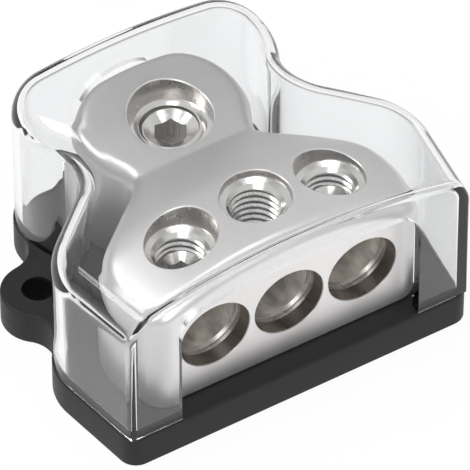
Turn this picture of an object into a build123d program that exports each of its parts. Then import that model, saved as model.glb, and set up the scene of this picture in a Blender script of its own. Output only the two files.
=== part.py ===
"""Power distribution block: one large cable goes in at the back, three smaller ones come out in front."""

import os
from math import cos, radians, sin, sqrt, tan

from build123d import *

os.makedirs("parts", exist_ok=True)

# All sizes are in millimetres. The origin is the middle of the base's underside, +Z is up and
# the three outputs look along -Y. Distances "back" count from the front face of the terminal block.

# Terminal block: its plan is a bell, wide in front, with a neck and a round lobe behind
block_front_width = 48.4
block_shoulder_width = 51.4
block_shoulder_back = 15.8
block_neck_width = 21.8
block_lobe_width = 29.0
block_depth = 47.3
block_lobe_length = 12.8
block_neck_length = 6.1
block_front_radius = 4.5
block_shoulder_radius = 8.0
block_neck_radius = 4.0
block_lobe_radius = 8.0
block_end_radius = 10.0
block_top_edge = 2.0

# Terminal block: its top is arched from side to side. From the front it runs level, slopes down
# to a valley at the neck and rises again to the rear end
front_height = 25.8
slope_length = 12.9
slope_angle = 22.0
end_height = 24.3
rise_angle = 8.8
front_arch_radius = 50.0
end_arch_radius = 38.0
ridge_radius = 10.0

# Three output bores, each with a wider mouth for the cable's jacket
output_count = 3
output_pitch = 13.35
output_bore_radius = 5.6
output_bore_depth = 16.2
output_mouth_radius = 6.15
output_mouth_depth = 3.4
bore_height = 11.1
mouth_step = 0.5
drill_angle = 118.0

# The input bore, in the round end
input_bore_radius = 6.2
input_bore_depth = 18.6
input_mouth_radius = 7.0
input_mouth_depth = 4.0

# Set screws and the recesses that they stand in
output_screw_radius = 4.0
output_screw_length = 6.0
output_screw_back = 9.9
output_screw_top = 16.8
middle_screw_sink = 1.2
output_socket_width = 4.0
output_recess_radius = 5.7
input_screw_radius = 5.0
input_screw_length = 8.0
input_screw_from_end = 12.0
input_screw_top = 18.3
input_socket_width = 5.0
input_recess_radius = 6.8
output_recess_lip = 1.0
input_recess_lip = 1.5
output_recess_cone = 1.5
output_recess_shelf = 0.35
input_recess_cone = 0.65
input_recess_shelf = 1.05
socket_mouth = 0.7
screw_edge = 0.4
thread_clearance = 0.08

# Clear cover, outside the terminal block by these gaps
front_gap = 3.7
front_side_gap = 6.5
shoulder_side_gap = 8.3
shoulder_back_gap = 1.5
neck_side_gap = 6.7
neck_back_gap = 1.8
lobe_side_gap = 8.0
lobe_back_gap = 5.3
end_gap = 4.4
crown_gap = 3.2
cover_wall = 1.8
cover_arch_radius = 107.0
cover_front_radius = 1.2
cover_shoulder_radius = 5.0
cover_neck_radius = 3.5
cover_lobe_radius = 16.0
cover_end_radius = 7.9
cover_top_edge = 4.4
window_side = 9.1
window_top = 5.2
window_radius = 4.6
cable_arch_gap = 1.7

# Base plate and its two ears
base_height = 6.2
base_overhang = 0.3
base_edge = 0.4
ear_spacing = 53.2
ear_back = 32.0
ear_radius = 6.0
ear_blend = 5.0
ear_hole_radius = 2.35

# Two screws that hold the terminal block down from below
hold_screw_radius = 2.0
hold_screw_spacing = 16.0
hold_screw_back = 21.8
hold_screw_grip = 5.0
hold_head_radius = 3.6
hold_head_height = 2.2
hold_head_sink = 0.4
hold_head_clearance = 0.3
hold_shank_clearance = 0.05
cross_width = 0.9
cross_depth = 1.3

# Places worked out from the sizes above
block_lobe_back = block_depth - block_lobe_length
block_neck_back = block_lobe_back - block_neck_length
slope_back = block_neck_back - slope_length
input_screw_back = block_depth - input_screw_from_end
cover_depth = front_gap + block_depth + end_gap
front_face_y = front_gap - cover_depth / 2
block_floor = base_height
bore_z = block_floor + bore_height
crown_top = block_floor + front_height + crown_gap
hold_seat = hold_head_height + hold_head_sink
output_xs = [output_pitch * (i - (output_count - 1) / 2) for i in range(output_count)]
hold_xs = [-hold_screw_spacing / 2, hold_screw_spacing / 2]


def at_back(distance):
    """The Y of a place that lies this far behind the terminal block's front face."""
    return front_face_y + distance


def corner_reach(before, corner, after):
    """How far along its walls a rounding of radius 1 reaches from a corner."""
    turn = (corner - before).get_angle(after - corner)
    return tan(radians(turn / 2))


def bell_outline(corners, radii):
    """A closed plan outline, alike on both sides, from the corners of its right half, front to back.
    Where a wall is too short for the roundings at its two ends, they share it."""
    points = [Vector(*corner) for corner in corners]
    points = points + [Vector(-point.X, point.Y) for point in reversed(points)]
    radii = radii + radii[::-1]
    count = len(points)
    nexts = points[1:] + points[:1]
    reach = [corner_reach(points[i - 1], points[i], nexts[i]) * radii[i] for i in range(count)]
    share = [1.0] * count
    for i in range(count):
        j = (i + 1) % count
        room = (nexts[i] - points[i]).length * 0.98 / (reach[i] + reach[j])
        share[i] = min(share[i], room)
        share[j] = min(share[j], room)
    with BuildSketch(mode=Mode.PRIVATE) as outline:
        with BuildLine():
            FilletPolyline(points, radius=[radii[i] * share[i] for i in range(count)], close=True)
        make_face()
    return outline.sketch


def block_outline():
    """The terminal block's plan."""
    corners = [
        (block_front_width / 2, at_back(0)),
        (block_shoulder_width / 2, at_back(block_shoulder_back)),
        (block_neck_width / 2, at_back(block_neck_back)),
        (block_lobe_width / 2, at_back(block_lobe_back)),
        (block_lobe_width / 2, at_back(block_depth)),
    ]
    front_radii = [block_front_radius, block_shoulder_radius]
    rear_radii = [block_neck_radius, block_lobe_radius, block_end_radius]
    return bell_outline(corners, front_radii + rear_radii)


def cover_corners():
    """The corners of the cover's right half in plan, each a gap away from one of the block's."""
    return [
        (block_front_width / 2 + front_side_gap, at_back(-front_gap)),
        (block_shoulder_width / 2 + shoulder_side_gap, at_back(block_shoulder_back + shoulder_back_gap)),
        (block_neck_width / 2 + neck_side_gap, at_back(block_neck_back + neck_back_gap)),
        (block_lobe_width / 2 + lobe_side_gap, at_back(block_lobe_back + lobe_back_gap)),
        (block_lobe_width / 2 + lobe_side_gap, at_back(block_depth + end_gap)),
    ]


def cover_radii():
    """The cover's roundings in plan behind its front corners, from the shoulder to the rear end."""
    return [cover_shoulder_radius, cover_neck_radius, cover_lobe_radius, cover_end_radius]


def grown(plan, amount):
    """The plan outline, wider by an amount or narrower by a negative one."""
    return Face(plan.faces()[0].outer_wire().offset_2d(amount, kind=Kind.INTERSECTION))


def arched_slab(back, height, tilt, arch_radius):
    """A long round-topped slab whose ridge passes a place on the centre line, tilted front to back."""
    up = (0, -sin(radians(tilt)), cos(radians(tilt)))
    ridge = Plane(origin=(0, at_back(back), block_floor + height), x_dir=(1, 0, 0), z_dir=up)
    with BuildPart(mode=Mode.PRIVATE) as slab:
        with Locations((0, 0, -arch_radius)):
            Cylinder(arch_radius, 300, rotation=(90, 0, 0))
    return ridge * slab.part


def top_z(x, back):
    """Height of the terminal block's top at a place in plan, before its edges are rounded."""
    level = front_height
    slope = front_height - (back - slope_back) * tan(radians(slope_angle))
    rise = end_height - (block_depth - back) * tan(radians(rise_angle))
    front = min(level, slope) - front_arch_radius + sqrt(front_arch_radius**2 - x**2)
    end = rise - end_arch_radius + sqrt(end_arch_radius**2 - x**2)
    return block_floor + max(front, end)


def recess_floor_z(x, back, radius, lip):
    """Height of a screw recess's floor, a little under the lowest place on its rim."""
    side = abs(x) + radius
    rim = [top_z(side, back), top_z(x, back - radius), top_z(x, back + radius)]
    return min(rim) - lip


def cable_bore(x, mouth_y, inward, bore_radius, bore_depth, mouth_radius, mouth_depth):
    """A cable bore with its wider mouth, a bevel between the two and a drilled end."""
    tip = bore_radius / tan(radians(drill_angle / 2))
    with BuildSketch(Plane.XY, mode=Mode.PRIVATE) as half:
        with BuildLine():
            Polyline(
                (0, -1),
                (mouth_radius, -1),
                (mouth_radius, mouth_depth),
                (bore_radius, mouth_depth + mouth_step),
                (bore_radius, bore_depth),
                (0, bore_depth + tip),
                close=True,
            )
        make_face()
    turned = revolve(half.sketch, Axis.Y)
    if inward < 0:
        turned = Rot(0, 0, 180) * turned
    return Pos(x, mouth_y, bore_z) * turned


def screw_recess(x, back, radius, floor_z, thread_radius, shelf, cone):
    """A recess with a flat shelf, a cone inside it and the threaded hole down to the bore's middle."""
    with BuildSketch(Plane.XZ, mode=Mode.PRIVATE) as half:
        with BuildLine():
            Polyline(
                (0, bore_z),
                (thread_radius, bore_z),
                (thread_radius, floor_z - cone),
                (radius - shelf, floor_z),
                (radius, floor_z),
                (radius, floor_z + front_height),
                (0, floor_z + front_height),
                close=True,
            )
        make_face()
    return Pos(x, at_back(back), 0) * revolve(half.sketch, Axis.Z)


def set_screw(x, back, top, radius, length, socket_width):
    """A headless screw with a hexagon socket, its mouth bevelled round."""
    with BuildPart() as screw:
        with BuildSketch(Plane.XY.offset(top - length)):
            Circle(radius)
        extrude(amount=length)
        chamfer(screw.edges().filter_by(GeomType.CIRCLE), screw_edge)
        with BuildSketch(Plane.XY.offset(top)):
            RegularPolygon(socket_width / 2, 6, major_radius=False)
        extrude(amount=-length * 0.55, mode=Mode.SUBTRACT)
        with BuildSketch(Plane.XY.offset(top)):
            Circle(radius - screw_edge - 0.3)
        extrude(amount=-socket_mouth, taper=45, mode=Mode.SUBTRACT)
    return Pos(x, at_back(back), 0) * screw.part


def outer_edges(faces):
    """The edges that bound a group of faces, without those between two of the group."""
    edges = [edge for face in faces for edge in face.edges()]
    return [edge for edge in edges if sum(edge.is_same(other) for other in edges) == 1]


def softened(body, rim_radius):
    """The body with the rim of its top rounded in three flats that stay close to an arc of the radius."""
    tops = [face for face in body.faces() if face.normal_at(face.center()).Z > 0.5]
    flat = 0.634 * rim_radius
    body = body.chamfer(flat, flat, outer_edges(tops))
    flats = [face for face in body.faces() if 0.3 < face.normal_at(face.center()).Z < 0.85]
    side = 0.19 * rim_radius
    return body.chamfer(side, side, outer_edges(flats))


def block_body():
    """The terminal block before its holes: a front part and a rear lobe with a valley between them."""
    whole = Pos(0, 0, block_floor) * extrude(block_outline(), amount=front_height + 4, dir=(0, 0, 1))
    front = whole & arched_slab(0, front_height, 0, front_arch_radius)
    front = front & arched_slab(slope_back, front_height, -slope_angle, front_arch_radius)
    crown = Vector(0, at_back(slope_back), block_floor + front_height)
    ridge = front.edges().sort_by_distance(crown)[0]
    front = softened(front.fillet(ridge_radius, [ridge]), block_top_edge)
    lobe = whole & arched_slab(block_depth, end_height, rise_angle, end_arch_radius)
    return front + softened(lobe, block_top_edge)


def cover_form(wall):
    """The cover's outer shape, or with a wall its hollow: arched top, rounded upper edge, flat front."""
    corners = cover_corners()
    ahead = 2 * cover_top_edge + 2
    slope = (corners[1][0] - corners[0][0]) / (corners[1][1] - corners[0][1])
    corners[0] = (corners[0][0] - slope * ahead, corners[0][1] - ahead)
    plan = bell_outline(corners, [cover_top_edge + 1] + cover_radii())
    low = base_height
    if wall:
        plan = grown(plan, -wall)
        low = base_height - 1
    prism = Pos(0, 0, low) * extrude(plan, amount=crown_top + 5 - low, dir=(0, 0, 1))
    form = prism - above_arch(wall)
    form = softened(form, cover_top_edge - wall)
    behind = Box(200, 200, 200, align=(Align.CENTER, Align.MIN, Align.CENTER))
    return form & Pos(0, at_back(-front_gap) + wall, 0) * behind


def above_arch(depth):
    """All that lies above the cover's arched top, or above a like arch some way below it."""
    room = Pos(0, 0, cover_arch_radius) * Box(200, 400, 120)
    room = room - Cylinder(cover_arch_radius - depth, 500, rotation=(90, 0, 0))
    return Pos(0, 0, crown_top - cover_arch_radius) * room


def front_window():
    """The cutter for the cover's front window, open at the bottom, with rounded upper corners."""
    half = block_front_width / 2 + front_side_gap - window_side
    front = Pos(0, at_back(-front_gap), bore_z)
    cutter = front * Box(2 * half, 3 * cover_wall, 2 * crown_top) - above_arch(window_top)
    upper = cutter.edges().filter_by(Axis.Y).group_by(Axis.Z)[-1]
    return cutter.fillet(window_radius, upper)


def cable_arch():
    """The cutter for the cover's rear arch, round above the input bore and open at the bottom."""
    radius = input_mouth_radius + cable_arch_gap
    arch = Cylinder(radius, 3 * cover_wall, rotation=(90, 0, 0))
    arch += Box(2 * radius, 3 * cover_wall, 2 * bore_z, align=(Align.CENTER, Align.CENTER, Align.MAX))
    return Pos(0, at_back(block_depth + end_gap), bore_z) * arch


def base_outline():
    """The base's plan: the cover's, a little wider, with two ears blended into its sides."""
    plan = grown(bell_outline(cover_corners(), [cover_front_radius] + cover_radii()), base_overhang)
    with BuildSketch(mode=Mode.PRIVATE) as bar:
        with Locations((0, at_back(ear_back))):
            Rectangle(ear_spacing, 2 * ear_radius)
        with Locations((-ear_spacing / 2, at_back(ear_back)), (ear_spacing / 2, at_back(ear_back))):
            Circle(ear_radius)
    joined = Sketch() + plan + bar.sketch
    swollen = offset(joined, amount=ear_blend, kind=Kind.ARC)
    return offset(swollen, amount=-ear_blend, kind=Kind.ARC)


def hold_screw(x):
    """A pan-head screw with a cross recess, driven up through the base into the terminal block."""
    with BuildPart() as screw:
        with BuildSketch(Plane.XY.offset(hold_head_sink)):
            Circle(hold_head_radius)
        extrude(amount=hold_head_height)
        chamfer(screw.edges().group_by(Axis.Z)[0], hold_head_height * 0.3)
        with BuildSketch(Plane.XY.offset(hold_seat)):
            Circle(hold_screw_radius)
        extrude(amount=block_floor - hold_seat + hold_screw_grip)
        chamfer(screw.edges().group_by(Axis.Z)[-1], screw_edge)
        with BuildSketch(Plane.XY.offset(hold_head_sink)):
            Rectangle(2 * hold_head_radius * 0.62, cross_width)
            Rectangle(cross_width, 2 * hold_head_radius * 0.62)
        extrude(amount=cross_depth, mode=Mode.SUBTRACT)
    return Pos(x, at_back(hold_screw_back), 0) * screw.part


# Base plate
base_plan = base_outline()
with BuildPart() as base:
    with BuildSketch(Plane.XY):
        add(base_plan)
    extrude(amount=base_height)
    chamfer(base.edges().group_by(Axis.Z)[-1], base_edge)
    with Locations((-ear_spacing / 2, at_back(ear_back)), (ear_spacing / 2, at_back(ear_back))):
        Cylinder(ear_hole_radius, 4 * base_height, mode=Mode.SUBTRACT)
    with Locations(*[(x, at_back(hold_screw_back)) for x in hold_xs]):
        Cylinder(hold_screw_radius + hold_shank_clearance, 4 * base_height, mode=Mode.SUBTRACT)
        Cylinder(hold_head_radius + hold_head_clearance, 2 * hold_seat, mode=Mode.SUBTRACT)
base.part.label = "base"
export_step(base.part, "parts/base.step")

# Terminal block
output_thread_radius = output_screw_radius + thread_clearance
input_thread_radius = input_screw_radius + thread_clearance
input_floor_z = recess_floor_z(0, input_screw_back, input_recess_radius, input_recess_lip)
input_sizes = (input_bore_radius, input_bore_depth, input_mouth_radius, input_mouth_depth)
output_sizes = (output_bore_radius, output_bore_depth, output_mouth_radius, output_mouth_depth)
solid_block = block_body()
cutters = [
    screw_recess(
        0,
        input_screw_back,
        input_recess_radius,
        input_floor_z,
        input_thread_radius,
        input_recess_shelf,
        input_recess_cone,
    ),
    cable_bore(0, at_back(block_depth), -1, *input_sizes),
]
for x in output_xs:
    floor_z = recess_floor_z(x, output_screw_back, output_recess_radius, output_recess_lip)
    cutters += [
        screw_recess(
            x,
            output_screw_back,
            output_recess_radius,
            floor_z,
            output_thread_radius,
            output_recess_shelf,
            output_recess_cone,
        ),
        cable_bore(x, at_back(0), 1, *output_sizes),
    ]
with BuildPart() as terminal_block:
    add(solid_block)
    add(cutters, mode=Mode.SUBTRACT)
    with Locations(*[(x, at_back(hold_screw_back), block_floor) for x in hold_xs]):
        Cylinder(hold_screw_radius + hold_shank_clearance, 2 * (hold_screw_grip + 1), mode=Mode.SUBTRACT)
terminal_block.part.label = "terminal_block"
export_step(terminal_block.part, "parts/terminal_block.step")

# Set screws, at the depth where the photo shows them
output_names = ["output_screw_left", "output_screw_middle", "output_screw_right"]
for name, x in zip(output_names, output_xs):
    top = block_floor + output_screw_top
    if x == 0:
        top -= middle_screw_sink
    screw_sizes = (output_screw_radius, output_screw_length, output_socket_width)
    turned_in = set_screw(x, output_screw_back, top, *screw_sizes)
    with BuildPart() as output_screw:
        add(turned_in)
    output_screw.part.label = name
    export_step(output_screw.part, "parts/" + name + ".step")

top = block_floor + input_screw_top
turned_in = set_screw(0, input_screw_back, top, input_screw_radius, input_screw_length, input_socket_width)
with BuildPart() as input_screw:
    add(turned_in)
input_screw.part.label = "input_screw"
export_step(input_screw.part, "parts/input_screw.step")

# Screws that hold the terminal block to the base
for name, x in zip(["hold_screw_left", "hold_screw_right"], hold_xs):
    driven_in = hold_screw(x)
    with BuildPart() as holding:
        add(driven_in)
    holding.part.label = name
    export_step(holding.part, "parts/" + name + ".step")

# Clear cover
cover_outer = cover_form(0)
cover_hollow = cover_form(cover_wall)
cover_openings = [front_window(), cable_arch()]
with BuildPart() as cover:
    add(cover_outer)
    add(cover_hollow, mode=Mode.SUBTRACT)
    add(cover_openings, mode=Mode.SUBTRACT)
cover.part.label = "cover"
export_step(cover.part, "parts/cover.step")
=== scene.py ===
"""Looks for the power distribution block: metal block, set screws, black base and clear cover."""

import math

import bmesh
import bpy
from bpy.props import FloatProperty, FloatVectorProperty, PointerProperty
from mathutils import Euler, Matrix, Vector
from mathutils.geometry import delaunay_2d_cdt


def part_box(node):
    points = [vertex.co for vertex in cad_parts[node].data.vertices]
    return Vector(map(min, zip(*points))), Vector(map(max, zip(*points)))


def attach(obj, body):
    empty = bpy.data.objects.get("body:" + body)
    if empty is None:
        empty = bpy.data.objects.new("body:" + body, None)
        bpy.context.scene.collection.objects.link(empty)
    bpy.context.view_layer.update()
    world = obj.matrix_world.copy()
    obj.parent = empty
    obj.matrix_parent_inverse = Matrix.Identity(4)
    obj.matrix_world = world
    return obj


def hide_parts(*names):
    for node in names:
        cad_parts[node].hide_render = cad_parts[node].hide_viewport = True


bl_info = {
    "name": "Power distribution block",
    "version": (1, 0, 0),
    "blender": (4, 5, 0),
    "location": "3D View > Sidebar > Distribution",
    "description": "Builds the metal block, set screws, base and clear cover over their CAD frame",
    "category": "Add Mesh",
}

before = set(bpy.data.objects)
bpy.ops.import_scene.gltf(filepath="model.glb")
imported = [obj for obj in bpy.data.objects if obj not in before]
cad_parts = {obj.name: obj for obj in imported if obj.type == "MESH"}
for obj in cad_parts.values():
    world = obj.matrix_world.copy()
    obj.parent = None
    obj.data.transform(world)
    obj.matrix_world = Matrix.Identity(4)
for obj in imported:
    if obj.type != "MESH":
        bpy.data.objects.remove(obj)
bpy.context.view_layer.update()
MM = 0.001

# The frame's boxes give the levels that the pieces share, in millimetres
FRONT_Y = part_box("terminal_block")[0].y / MM
FLOOR_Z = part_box("base")[1].z / MM
COVER_LOW, COVER_HIGH = [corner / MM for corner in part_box("cover")]

# Radii of the plans' corners on one side, front to back, in millimetres.
# The cover's first radius is left out, because the base has another one there.
BLOCK_RADII = (4.5, 12.0, 4.0, 8.0, 9.0)
COVER_RADII = (10.0, 8.0, 15.2, 7.5)


def length(name, description, default):
    """A size in metres, shown with its unit, from a default in millimetres."""
    return FloatProperty(
        name=name,
        description=description,
        default=default * MM,
        min=0.0,
        precision=5,
        unit="LENGTH",
    )


def angle(name, description, default):
    """An angle, from a default in degrees."""
    return FloatProperty(
        name=name, description=description, default=math.radians(default), subtype="ANGLE"
    )


def amount(name, description, default):
    """A plain number."""
    return FloatProperty(name=name, description=description, default=default)


def colour(name, description, *default):
    """A colour, from its red, green and blue."""
    return FloatVectorProperty(
        name=name,
        description=description,
        default=(*default, 1.0),
        size=4,
        min=0.0,
        max=1.0,
        subtype="COLOR",
    )


class DistributionBlockSizes(bpy.types.PropertyGroup):
    """Sizes of the machined terminal block"""

    front_width: length("Front width", "Width of the block at its front face", 48.4)
    shoulder_width: length("Shoulder width", "Greatest width, at the shoulders", 54.0)
    shoulder_back: length("Shoulder place", "Shoulders' distance behind the front face", 14.0)
    neck_width: length("Neck width", "Width at the corner of the neck", 21.4)
    neck_back: length("Neck place", "Neck's distance behind the front face", 27.4)
    lobe_width: length("Lobe width", "Width of the rear lobe", 29.0)
    lobe_back: length("Lobe place", "Lobe corner's distance behind the front face", 35.4)
    depth: length("Depth", "Whole depth of the block", 47.0)
    front_height: length("Front height", "Height of the level front part", 25.2)
    slope_back: length("Slope place", "Where the top begins to slope down", 15.5)
    end_height: length("End height", "Height at the rear end", 23.3)
    slope_angle: angle("Slope", "Fall of the rear slope", 22.0)
    rise_angle: angle("Rise", "Rise of the lobe", 8.2)
    front_arch: length("Front arch", "Radius of the front part's arch from side to side", 50.0)
    end_arch: length("Lobe arch", "Radius of the lobe's arch from side to side", 36.0)
    top_edge: length("Top edge", "Rounding of the top edge", 2.1)
    foot: length("Foot", "Bevel round the underside", 0.3)


class DistributionBoreSizes(bpy.types.PropertyGroup):
    """Sizes of the cable bores and screw recesses"""

    pitch: length("Pitch", "Distance from one output to the next", 13.35)
    height: length("Height", "Height of the bores above the block's underside", 11.1)
    output_bore: length("Output bore", "Radius of the output bores", 5.6)
    output_depth: length("Output depth", "Depth of the output bores", 16.2)
    output_mouth: length("Output mouth", "Radius of the output mouths", 6.15)
    output_mouth_depth: length("Mouth depth", "Depth of the output mouths", 3.4)
    output_screw_back: length("Output screws", "Their distance behind the front face", 9.9)
    output_recess: length("Output recess", "Radius of the output screws' recesses", 5.7)
    output_lip: length("Output lip", "Least height of these recesses' walls", 1.3)
    output_shelf: length("Output shelf", "Inner radius of these recesses' shelves", 5.55)
    output_cone: length("Output cone", "Depth of the cones below these shelves", 0.95)
    input_bore: length("Input bore", "Radius of the input bore", 6.2)
    input_depth: length("Input depth", "Depth of the input bore", 18.6)
    input_mouth: length("Input mouth", "Radius of the input mouth", 7.0)
    input_mouth_depth: length("Input mouth depth", "Depth of the input mouth", 4.0)
    input_screw_back: length("Input screw", "Its distance behind the front face", 35.3)
    input_recess: length("Input recess", "Radius of the input screw's recess", 6.8)
    input_lip: length("Input lip", "Least height of this recess's wall", 1.5)
    input_shelf: length("Input shelf", "Inner radius of this recess's shelf", 5.75)
    input_cone: length("Input cone", "Depth of the cone below this shelf", 0.65)


class DistributionScrewSizes(bpy.types.PropertyGroup):
    """Sizes of the set screws and of the threads cut for them"""

    output_radius: length("Output screw", "Thread radius of the output screws", 4.0)
    output_pitch: length("Output thread pitch", "Thread pitch of the output screws", 1.25)
    output_socket: length("Output socket", "Width across the output sockets' flats", 4.0)
    output_mouth_slope: amount("Output mouths", "Fall of the socket mouths per length", 1.0)
    output_room: length("Output room", "Added to the radius of the outputs' cut threads", 0.38)
    output_flare: length("Output flare", "Width of the cones' steeper part", 0.5)
    output_gap: length("Output gap", "Height between these threads and the cones", 0.03)
    input_radius: length("Input screw", "Thread radius of the input screw", 5.0)
    input_pitch: length("Input thread pitch", "Thread pitch of the input screw", 1.5)
    input_socket: length("Input socket", "Width across the input socket's flats", 5.0)
    input_mouth_slope: amount("Input mouth", "Fall of the socket's mouth per length", 0.56)
    input_room: length("Input room", "Added to the radius of the input's cut thread", 0.08)
    input_flare: length("Input flare", "Width of the cone's steeper part", 0.3)
    input_gap: length("Input gap", "Height between this thread and the cone", 0.05)
    clearance: length("Clearance", "Room round the screws where the cones end", 0.08)
    thread_depth: length("Thread depth", "Depth of the thread's grooves", 0.62)


class DistributionCoverSizes(bpy.types.PropertyGroup):
    """Sizes of the clear cover. Places are measured from the block's front face"""

    front_width: length("Front width", "Width of the cover at its front", 61.4)
    shoulder_width: length("Shoulder width", "Width at the shoulders' corner", 68.0)
    shoulder_back: length("Shoulder place", "Shoulders' distance behind that face", 17.3)
    neck_width: length("Neck width", "Width at the corner of the neck", 35.2)
    neck_back: length("Neck place", "Neck's distance behind that face", 30.2)
    lobe_width: length("Lobe width", "Width of the rear part", 45.0)
    lobe_back: length("Lobe place", "Lobe corner's distance behind that face", 39.8)
    wall: length("Wall", "Thickness of the walls", 1.8)
    arch: length("Arch", "Radius of the top's arch from side to side", 107.0)
    top_edge: length("Top edge", "Rounding of the top edge", 4.4)
    front_edge: length("Front edge", "Rounding of the front's outer edge", 0.7)
    inner_front_edge: length("Inner front edge", "Rounding of its inner edge", 0.5)
    window_side: length("Window side", "Width left beside the front window", 9.1)
    window_top: length("Window top", "Height left above the front window", 5.2)
    window_corner: length("Window corner", "Radius of the window's upper corners", 4.6)
    cable_arch: length("Cable arch", "Radius of the rear arch", 8.7)


class DistributionBaseSizes(bpy.types.PropertyGroup):
    """Sizes of the base plate, its ears and the seats of the screws from below"""

    overhang: length("Overhang", "How far the base stands out past the cover's plan", 0.3)
    corner: length("Corner", "Rounding of the front corners in plan", 3.0)
    edge: length("Edge", "Rounding of the upper edge", 0.4)
    foot: length("Foot", "Bevel round the underside", 0.25)
    ear_spacing: length("Ear spacing", "Distance between the ears' holes", 53.2)
    ear_back: length("Ear place", "Ears' distance behind the block's front face", 32.0)
    ear_radius: length("Ear radius", "Radius of the ears", 6.0)
    ear_blend: length("Ear blend", "Radius of the hollow between ear and side", 5.0)
    ear_hole: length("Ear hole", "Radius of the ears' holes", 2.35)
    hold_side: length("Screw side", "Distance of the screws from the middle", 8.0)
    hold_back: length("Screw place", "Their distance behind the block's front face", 21.8)
    hold_hole: length("Screw hole", "Radius of their holes", 2.05)
    hold_depth: length("Hole depth", "Depth of their holes in the block", 6.0)
    hold_seat: length("Screw seat", "Radius of the seats for their heads", 3.9)
    hold_seat_height: length("Seat height", "Height of these seats", 2.6)


class DistributionFinishes(bpy.types.PropertyGroup):
    """Colours of the finishes"""

    nickel: colour("Nickel", "Satin nickel of the terminal block", 0.90, 0.883, 0.876)
    machined: colour("Machined faces", "Warm nickel of the recesses", 0.60, 0.56, 0.53)
    mouth: colour("Bore mouths", "Turned metal of the bores' mouths", 0.50, 0.465, 0.445)
    # Partly painted reflection: the bores' warm grey is made light and mostly diffuse, in place of
    # the light they reflect
    drilled: colour("Drilled faces", "Dull warm grey inside the bores", 0.90, 0.84, 0.77)
    edge: colour("Bright edges", "Narrow bevels round the recesses", 0.95, 0.94, 0.93)
    # Painted shade: the dark colour of the cut threads' roots
    groove: colour("Thread grooves", "Bottoms of the cut threads", 0.10, 0.095, 0.09)
    screw: colour("Screw", "Plated set screws and threads", 0.66, 0.65, 0.63)
    # Painted light and painted shade: two tints for the socket walls, chosen by the way each wall
    # faces
    socket_painted_light: colour("Light socket walls", "Socket walls in the light", 0.95, 0.90, 0.87)
    socket_painted_shade: colour("Shaded socket walls", "Socket walls in shade", 0.38, 0.35, 0.33)
    plastic: colour("Base plastic", "Black plastic of the base", 0.010, 0.010, 0.0105)
    # Painted shade: the base's holes get a deeper, less glossy black than the plate
    hole: colour("Holes in the base", "Deep black of the base's holes", 0.003, 0.003, 0.003)
    clear: colour("Clear plastic", "Tint of the clear cover", 0.97, 0.975, 0.98)
    zinc: colour("Zinc", "Screws under the base", 0.6, 0.6, 0.62)
    floor: colour("Floor", "Studio floor", 0.93, 0.93, 0.93)


class DistributionStage(bpy.types.PropertyGroup):
    """Camera and light"""

    azimuth: angle("Azimuth", "Camera's turn to the left of the front", 31.5)
    elevation: angle("Elevation", "Camera's height angle", 45.8)
    distance: length("Distance", "Camera's distance", 989.8)
    lens: amount("Lens", "Focal length in millimetres", 482.6)
    aim_back: length("Aim place", "Aim's distance behind the block's front face", 24.3)
    aim_height: length("Aim height", "Aim's height above the base's top", 8.4)
    aim_right: length("Aim right", "Aim's move to the picture's right", 4.32)
    aim_down: length("Aim down", "Aim's move down in the picture", 2.656)
    sky: amount("Sky", "Strength of the even light from above", 0.88)
    zenith: amount("Zenith", "Share of that light left straight overhead", 0.5)
    horizon: amount("Horizon", "Strength of the even light near the horizon", 0.3)
    glow: amount("Floor glow", "Share of the floor seen as plain white", 0.93)
    glow_in_gloss: amount("Glow in gloss", "Part of it left in glossy reflections", 0.88)


GROUPS = {
    "distribution_block": DistributionBlockSizes,
    "distribution_bores": DistributionBoreSizes,
    "distribution_screws": DistributionScrewSizes,
    "distribution_cover": DistributionCoverSizes,
    "distribution_base": DistributionBaseSizes,
    "distribution_finishes": DistributionFinishes,
    "distribution_stage": DistributionStage,
}


def mm(group, *names):
    """Sizes of a group in millimetres."""
    return [getattr(group, name) / MM for name in names]


def mm_of(group, kind, *names):
    """Sizes of a group in millimetres, for the outputs or for the input."""
    return mm(group, *[f"{kind}_{name}" for name in names])


# Plan outlines, in millimetres


def polar(reach, turn):
    """The point at a distance and an angle from the origin."""
    return reach * math.cos(turn), reach * math.sin(turn)


def rounded_outline(corners, radii, step=0.3):
    """A closed outline from the corners of its right half, front to back, each with a radius."""
    corners = [Vector(c) for c in corners] + [Vector((-c[0], c[1])) for c in reversed(corners)]
    radii = list(radii) + list(reversed(radii))
    runs = []
    for i, corner in enumerate(corners):
        before = (corners[i - 1] - corner).normalized()
        after = (corners[(i + 1) % len(corners)] - corner).normalized()
        half = math.acos(max(-1.0, min(1.0, before.dot(after)))) / 2
        start = corner + before * (radii[i] / math.tan(half))
        centre = corner + (before + after).normalized() * (radii[i] / math.sin(half))
        first = start - centre
        sweep = math.pi - 2 * half
        if before.cross(after) > 0:
            sweep = -sweep
        steps = max(2, math.ceil(abs(sweep) * radii[i] / step))
        arc = []
        for k in range(steps + 1):
            along, across = polar(1, sweep * k / steps)
            turned = (first.x * along - first.y * across, first.x * across + first.y * along)
            arc.append(centre + Vector(turned))
        runs.append(arc)
    points = []
    for i, arc in enumerate(runs):
        points += arc
        gap = runs[(i + 1) % len(runs)][0] - arc[-1]
        steps = math.ceil(gap.length / (2.5 * step))
        points += [arc[-1] + gap * (k / steps) for k in range(1, steps)]
    return clean_ring(points)


def clean_ring(points, least=0.02):
    """The ring without points that lie closer than the least distance to the one before."""
    kept = []
    for point in points:
        if not kept or (point - kept[-1]).length > least:
            kept.append(point)
    while (kept[0] - kept[-1]).length < least:
        kept.pop()
    return kept


def moved_in(points, distance):
    """The outline, moved inwards by a distance."""
    moved = []
    for i, point in enumerate(points):
        run = points[(i + 1) % len(points)] - points[i - 1]
        run.normalize()
        moved.append(point + Vector((-run.y, run.x)) * distance)
    return moved


def inside(point, ring):
    """Whether a point lies inside a ring."""
    hit = False
    x, y = point
    for a, b in zip(ring, ring[1:] + ring[:1]):
        if (a.y > y) != (b.y > y) and x < a.x + (y - a.y) * (b.x - a.x) / (b.y - a.y):
            hit = not hit
    return hit


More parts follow.
